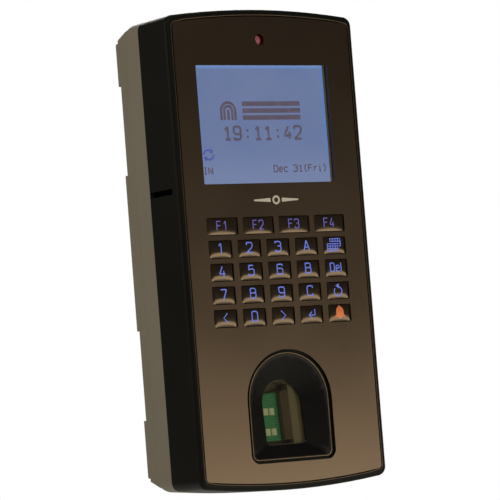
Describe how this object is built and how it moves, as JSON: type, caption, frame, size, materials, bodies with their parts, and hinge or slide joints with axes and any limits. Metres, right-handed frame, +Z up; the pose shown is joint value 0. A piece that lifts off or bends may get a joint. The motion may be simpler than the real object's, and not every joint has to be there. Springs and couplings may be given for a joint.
{
  "type": "fingerprint scanner terminal",
  "caption": "Wall-mounted access terminal with a bowed-end face plate, blue display, backlit keypad and an arched finger recess over an optical sensor.",
  "frame": {"origin": "centre of the four wall screw holes, on the wall face of the wall plate", "axes": "+Z up, +X to the right as a user faces the terminal, +Y into the wall; the front faces -Y"},
  "size_m": [0.105, 0.0478, 0.225],
  "materials": {
    "bronze_plate_paint": "satin metallic paint on a pressed plate",
    "black_abs": "moulded, low sheen",
    "grey_abs": "moulded, fine texture",
    "black_gloss_abs": "moulded, satin gloss",
    "key_polycarbonate": "moulded, satin gloss with lit legends",
    "seal_rubber": "matt",
    "silicone_rubber": "matt",
    "zinc_steel": "zinc plated",
    "black_steel": "black lacquer",
    "tinned_steel": "tinned",
    "stainless_steel": "satin",
    "clear_acrylic": "polished",
    "clear_glass": "polished",
    "lcd_panel": "backlit display",
    "white_diffuser": "moulded",
    "circuit_board": "solder mask",
    "red_lamp": "clear tinted epoxy",
    "white_lamp": "moulded",
    "dark_prism": "polished",
    "brown_moulding": "moulded",
    "black_epoxy": "moulded",
    "green_nylon": "moulded",
    "blue_plastic": "moulded",
    "black_nylon": "moulded",
    "white_nylon": "moulded",
    "ribbon_cable": "flat cable"
  },
  "bodies": {
    "terminal": {"face_plate": "bronze_plate_paint", "front_housing": "black_abs", "back_housing": "grey_abs", "housing_gasket": "seal_rubber", "wall_plate": "zinc_steel", "cable_grommet": "seal_rubber", "lcd_window": "clear_acrylic", "lcd_bezel": "black_steel", "lcd_glass": "lcd_panel", "lcd_backlight": "white_diffuser", "display_board": "circuit_board", "status_led": "red_lamp", "keypad_mat": "silicone_rubber", "keypad_board": "circuit_board", "finger_guide": "black_gloss_abs", "sensor_glass": "clear_glass", "sensor_carrier": "brown_moulding", "sensor_board": "circuit_board", "sensor_leds": "white_lamp", "sensor_prism": "dark_prism", "main_board": "circuit_board", "board_chips": "black_epoxy", "ethernet_jack": "tinned_steel", "terminal_blocks": "green_nylon", "relay": "blue_plastic", "coin_cell": "stainless_steel", "cell_holder": "black_nylon", "buzzer": "black_nylon", "tamper_switch": "black_nylon", "display_ribbon": "ribbon_cable", "keypad_ribbon": "ribbon_cable", "sensor_ribbon": "ribbon_cable", "housing_screws": "stainless_steel", "board_screws": "stainless_steel", "lock_screw": "stainless_steel"},
    "key_f1": {"key_f1": "key_polycarbonate"},
    "key_f2": {"key_f2": "key_polycarbonate"},
    "key_f3": {"key_f3": "key_polycarbonate"},
    "key_f4": {"key_f4": "key_polycarbonate"},
    "key_1": {"key_1": "key_polycarbonate"},
    "key_2": {"key_2": "key_polycarbonate"},
    "key_3": {"key_3": "key_polycarbonate"},
    "key_a": {"key_a": "key_polycarbonate"},
    "key_menu": {"key_menu": "key_polycarbonate"},
    "key_4": {"key_4": "key_polycarbonate"},
    "key_5": {"key_5": "key_polycarbonate"},
    "key_6": {"key_6": "key_polycarbonate"},
    "key_b": {"key_b": "key_polycarbonate"},
    "key_delete": {"key_delete": "key_polycarbonate"},
    "key_7": {"key_7": "key_polycarbonate"},
    "key_8": {"key_8": "key_polycarbonate"},
    "key_9": {"key_9": "key_polycarbonate"},
    "key_c": {"key_c": "key_polycarbonate"},
    "key_cycle": {"key_cycle": "key_polycarbonate"},
    "key_left": {"key_left": "key_polycarbonate"},
    "key_0": {"key_0": "key_polycarbonate"},
    "key_right": {"key_right": "key_polycarbonate"},
    "key_enter": {"key_enter": "key_polycarbonate"},
    "key_bell": {"key_bell": "key_polycarbonate"},
    "tamper_plunger": {"tamper_plunger": "white_nylon"}
  },
  "joints": [
    {"name": "key_f1_press", "type": "slide", "parent": "terminal", "child": "key_f1", "axis": [0, 1, 0], "range_m": [0, 0.0008], "stiffness_N_per_m": 600},
    {"name": "key_f2_press", "type": "slide", "parent": "terminal", "child": "key_f2", "axis": [0, 1, 0], "range_m": [0, 0.0008], "stiffness_N_per_m": 600},
    {"name": "key_f3_press", "type": "slide", "parent": "terminal", "child": "key_f3", "axis": [0, 1, 0], "range_m": [0, 0.0008], "stiffness_N_per_m": 600},
    {"name": "key_f4_press", "type": "slide", "parent": "terminal", "child": "key_f4", "axis": [0, 1, 0], "range_m": [0, 0.0008], "stiffness_N_per_m": 600},
    {"name": "key_1_press", "type": "slide", "parent": "terminal", "child": "key_1", "axis": [0, 1, 0], "range_m": [0, 0.0008], "stiffness_N_per_m": 600},
    {"name": "key_2_press", "type": "slide", "parent": "terminal", "child": "key_2", "axis": [0, 1, 0], "range_m": [0, 0.0008], "stiffness_N_per_m": 600},
    {"name": "key_3_press", "type": "slide", "parent": "terminal", "child": "key_3", "axis": [0, 1, 0], "range_m": [0, 0.0008], "stiffness_N_per_m": 600},
    {"name": "key_a_press", "type": "slide", "parent": "terminal", "child": "key_a", "axis": [0, 1, 0], "range_m": [0, 0.0008], "stiffness_N_per_m": 600},
    {"name": "key_menu_press", "type": "slide", "parent": "terminal", "child": "key_menu", "axis": [0, 1, 0], "range_m": [0, 0.0008], "stiffness_N_per_m": 600},
    {"name": "key_4_press", "type": "slide", "parent": "terminal", "child": "key_4", "axis": [0, 1, 0], "range_m": [0, 0.0008], "stiffness_N_per_m": 600},
    {"name": "key_5_press", "type": "slide", "parent": "terminal", "child": "key_5", "axis": [0, 1, 0], "range_m": [0, 0.0008], "stiffness_N_per_m": 600},
    {"name": "key_6_press", "type": "slide", "parent": "terminal", "child": "key_6", "axis": [0, 1, 0], "range_m": [0, 0.0008], "stiffness_N_per_m": 600},
    {"name": "key_b_press", "type": "slide", "parent": "terminal", "child": "key_b", "axis": [0, 1, 0], "range_m": [0, 0.0008], "stiffness_N_per_m": 600},
    {"name": "key_delete_press", "type": "slide", "parent": "terminal", "child": "key_delete", "axis": [0, 1, 0], "range_m": [0, 0.0008], "stiffness_N_per_m": 600},
    {"name": "key_7_press", "type": "slide", "parent": "terminal", "child": "key_7", "axis": [0, 1, 0], "range_m": [0, 0.0008], "stiffness_N_per_m": 600},
    {"name": "key_8_press", "type": "slide", "parent": "terminal", "child": "key_8", "axis": [0, 1, 0], "range_m": [0, 0.0008], "stiffness_N_per_m": 600},
    {"name": "key_9_press", "type": "slide", "parent": "terminal", "child": "key_9", "axis": [0, 1, 0], "range_m": [0, 0.0008], "stiffness_N_per_m": 600},
    {"name": "key_c_press", "type": "slide", "parent": "terminal", "child": "key_c", "axis": [0, 1, 0], "range_m": [0, 0.0008], "stiffness_N_per_m": 600},
    {"name": "key_cycle_press", "type": "slide", "parent": "terminal", "child": "key_cycle", "axis": [0, 1, 0], "range_m": [0, 0.0008], "stiffness_N_per_m": 600},
    {"name": "key_left_press", "type": "slide", "parent": "terminal", "child": "key_left", "axis": [0, 1, 0], "range_m": [0, 0.0008], "stiffness_N_per_m": 600},
    {"name": "key_0_press", "type": "slide", "parent": "terminal", "child": "key_0", "axis": [0, 1, 0], "range_m": [0, 0.0008], "stiffness_N_per_m": 600},
    {"name": "key_right_press", "type": "slide", "parent": "terminal", "child": "key_right", "axis": [0, 1, 0], "range_m": [0, 0.0008], "stiffness_N_per_m": 600},
    {"name": "key_enter_press", "type": "slide", "parent": "terminal", "child": "key_enter", "axis": [0, 1, 0], "range_m": [0, 0.0008], "stiffness_N_per_m": 600},
    {"name": "key_bell_press", "type": "slide", "parent": "terminal", "child": "key_bell", "axis": [0, 1, 0], "range_m": [0, 0.0008], "stiffness_N_per_m": 600},
    {"name": "tamper_plunger_press", "type": "slide", "parent": "terminal", "child": "tamper_plunger", "axis": [0, -1, 0], "range_m": [0, 0.0015], "stiffness_N_per_m": 300}
  ]
}
